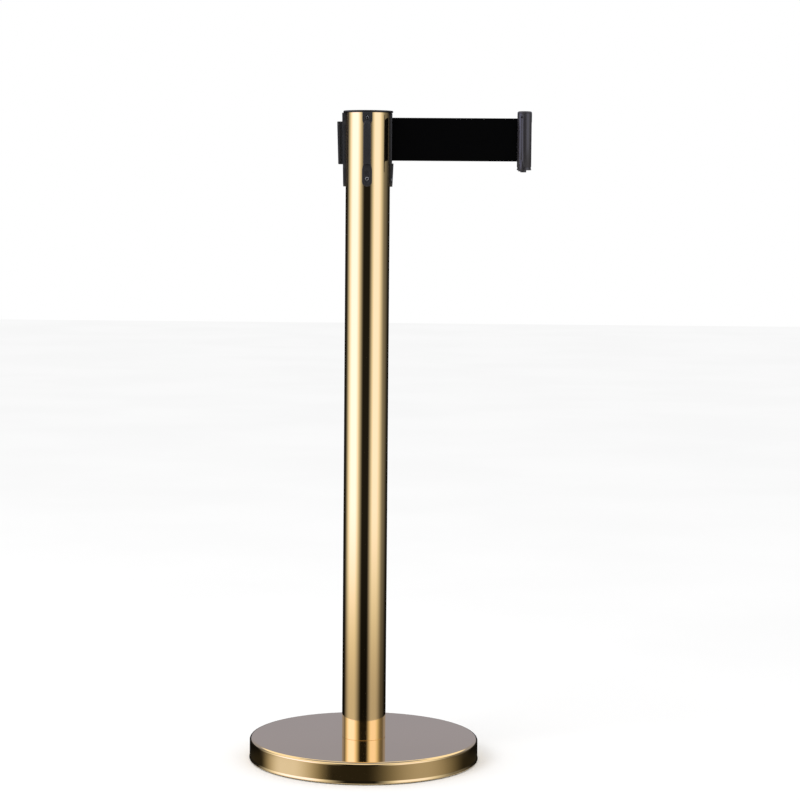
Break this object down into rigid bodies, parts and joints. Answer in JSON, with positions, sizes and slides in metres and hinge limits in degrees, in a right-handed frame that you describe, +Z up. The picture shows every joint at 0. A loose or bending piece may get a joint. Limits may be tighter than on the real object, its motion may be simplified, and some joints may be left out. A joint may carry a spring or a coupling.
{
  "type": "retractable belt stanchion",
  "caption": "Free-standing queue post with a round weighted base, belt receivers at its head and a retractable belt ending in a slotted clip.",
  "frame": {"origin": "on the floor, at the post's axis", "axes": "+Z up along the post; +X the way the belt is pulled out; -Y the front receiver"},
  "size_m": [0.3974, 0.3312, 0.9333],
  "materials": {
    "polished_brass": "mirror-polished brass-coloured plating",
    "cast_iron": "as cast",
    "rubber": "matte",
    "plain_steel": "turned",
    "zinc_steel": "zinc plated",
    "spring_steel": "blued strip",
    "cap_plastic": "black, fine satin",
    "head_plastic": "dark grey, satin",
    "clip_plastic": "dark grey, slightly glossy",
    "case_plastic": "moulded",
    "bush_plastic": "natural acetal",
    "belt_fabric": "woven polyester webbing"
  },
  "bodies": {
    "post": {"base_cover": "polished_brass", "base_weight": "cast_iron", "floor_ring": "rubber", "recess_plug": "rubber", "tube_foot": "plain_steel", "tie_bolt": "zinc_steel", "plain_washer": "zinc_steel", "spring_washer": "zinc_steel", "post_tube": "polished_brass", "top_cap": "cap_plastic", "receiver_front": "head_plastic", "receiver_left": "head_plastic", "receiver_rear": "head_plastic", "exit_guide": "head_plastic", "receiver_screws": "zinc_steel", "cassette_shell": "case_plastic", "cassette_lid": "case_plastic", "spring_cover": "case_plastic", "lid_screws": "zinc_steel", "cover_screws": "zinc_steel", "spindle": "plain_steel", "spindle_ring": "plain_steel", "thrust_washers": "bush_plastic", "power_spring": "spring_steel", "roller_pins": "plain_steel"},
    "spool_body": {"spool": "case_plastic", "spool_bush_top": "bush_plastic", "spool_bush_low": "bush_plastic", "belt_roll": "belt_fabric", "spring_arbor": "plain_steel"},
    "rear_roller_body": {"roller_rear": "bush_plastic"},
    "front_roller_body": {"roller_front": "bush_plastic"},
    "belt_end": {"belt_web": "belt_fabric", "clip_body": "clip_plastic", "clip_jaw": "clip_plastic", "clip_cap": "clip_plastic", "clip_pin": "plain_steel", "belt_wedge": "clip_plastic", "anchor_bar": "plain_steel"}
  },
  "joints": [
    {"name": "belt_pull", "type": "slide", "parent": "post", "child": "belt_end", "axis": [1, 0, 0], "range_m": [-0.1747, 1.82], "stiffness_N_per_m": 2, "springref_m": -3, "deforming": ["belt_web", "power_spring"]},
    {"name": "spool_spin", "type": "hinge", "parent": "post", "child": "spool_body", "pos_m": [0, 0, 0.8928], "axis": [0, 0, 1], "range_deg": [-7197.2, 692.7], "deforming": ["power_spring"]},
    {"name": "rear_roller_spin", "type": "hinge", "parent": "post", "child": "rear_roller_body", "pos_m": [0.0245, 0.0026, 0.8928], "axis": [0, 0, 1], "continuous": true},
    {"name": "front_roller_spin", "type": "hinge", "parent": "post", "child": "front_roller_body", "pos_m": [0.0245, -0.0026, 0.8928], "axis": [0, 0, 1], "continuous": true}
  ],
  "couplings": [
    {"joint": "spool_spin", "follows": "belt_pull", "rad_per_m": -69},
    {"joint": "rear_roller_spin", "follows": "belt_pull", "rad_per_m": 500},
    {"joint": "front_roller_spin", "follows": "belt_pull", "rad_per_m": -500}
  ]
}
